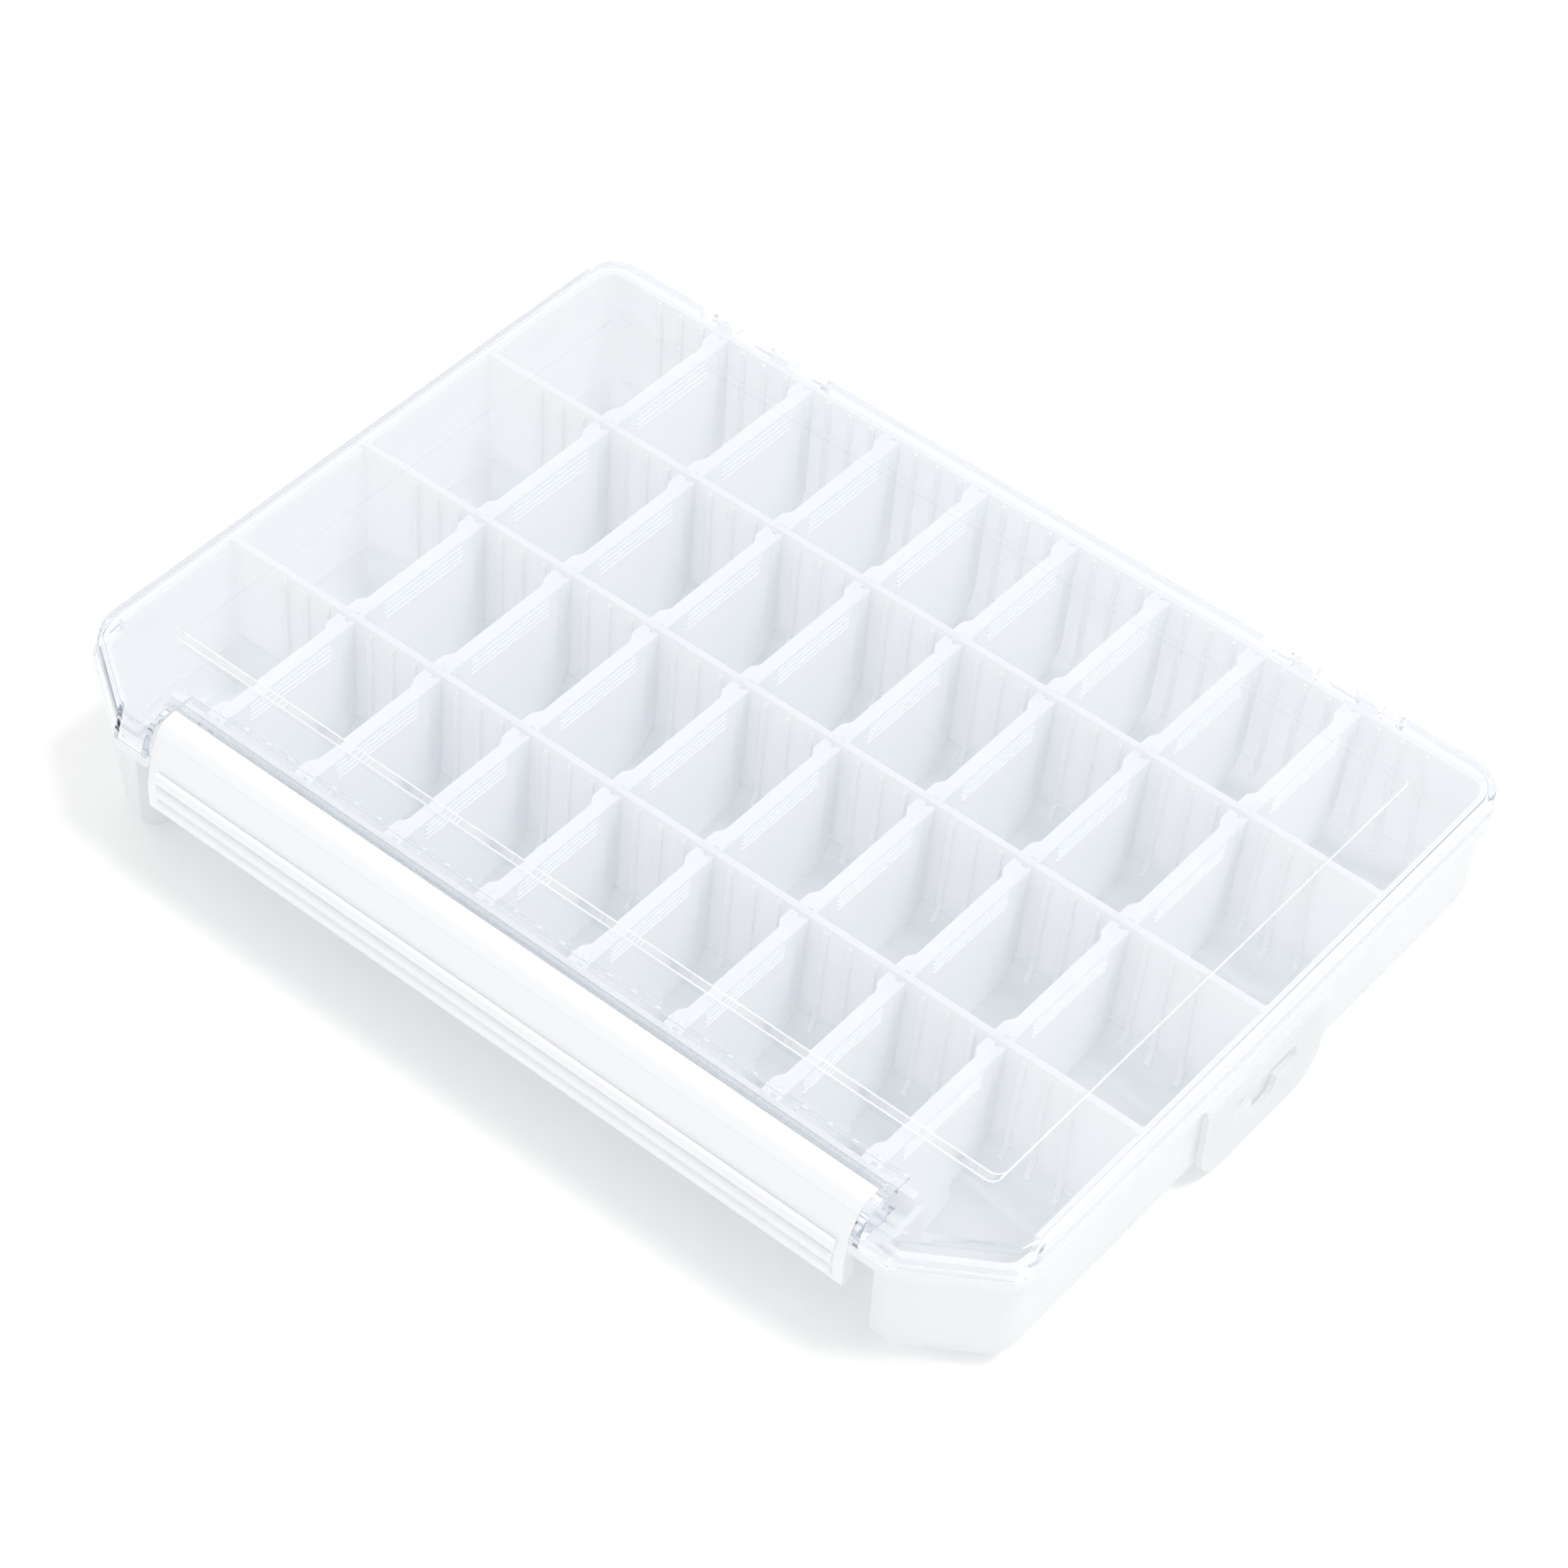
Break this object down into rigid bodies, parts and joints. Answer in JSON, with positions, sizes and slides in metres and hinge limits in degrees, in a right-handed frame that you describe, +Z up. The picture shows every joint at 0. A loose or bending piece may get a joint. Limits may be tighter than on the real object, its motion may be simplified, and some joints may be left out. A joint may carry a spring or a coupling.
{
  "type": "fly box",
  "caption": "Clear flat box for fishing flies: hinged lid, pivoting front latch and fold-out hang tab over troughs split by lift-out dividers.",
  "frame": {"origin": "on the surface the box rests on, under the middle of the closed box's bounds", "axes": "+X to the right along the box, seen from the latch; +Y from the latch to the hinge; +Z up"},
  "size_m": [0.255, 0.19, 0.04],
  "materials": {
    "lid": "clear polystyrene, polished",
    "tray": "milky polypropylene, as moulded",
    "divider": "milky polypropylene, as moulded",
    "latch": "opaque white, glossy",
    "hang_tab": "milky polypropylene, as moulded"
  },
  "bodies": {
    "tray": {"tray": "tray", "divider_r1_c1": "divider", "divider_r1_c2": "divider", "divider_r1_c3": "divider", "divider_r1_c4": "divider", "divider_r1_c5": "divider", "divider_r1_c6": "divider", "divider_r1_c7": "divider", "divider_r1_c8": "divider", "divider_r2_c1": "divider", "divider_r2_c2": "divider", "divider_r2_c3": "divider", "divider_r2_c4": "divider", "divider_r2_c5": "divider", "divider_r2_c6": "divider", "divider_r2_c7": "divider", "divider_r2_c8": "divider", "divider_r3_c1": "divider", "divider_r3_c2": "divider", "divider_r3_c3": "divider", "divider_r3_c4": "divider", "divider_r3_c5": "divider", "divider_r3_c6": "divider", "divider_r3_c7": "divider", "divider_r3_c8": "divider", "divider_r4_c1": "divider", "divider_r4_c2": "divider", "divider_r4_c3": "divider", "divider_r4_c4": "divider", "divider_r4_c5": "divider", "divider_r4_c6": "divider", "divider_r4_c7": "divider", "divider_r4_c8": "divider"},
    "lid": {"lid": "lid"},
    "latch": {"latch": "latch"},
    "hang_tab": {"hang_tab": "hang_tab"}
  },
  "joints": [
    {"name": "lid_hinge", "type": "hinge", "parent": "tray", "child": "lid", "pos_m": [0, 0.0918, 0.0326], "axis": [-1, 0, 0], "range_deg": [0, 180]},
    {"name": "latch_pivot", "type": "hinge", "parent": "lid", "child": "latch", "pos_m": [0, -0.0862, 0.0373], "axis": [-1, 0, 0], "range_deg": [0, 110]},
    {"name": "hang_tab_fold", "type": "hinge", "parent": "tray", "child": "hang_tab", "pos_m": [0.1267, 0.0045, 0.0247], "axis": [0, -1, 0], "range_deg": [0, 90]}
  ]
}
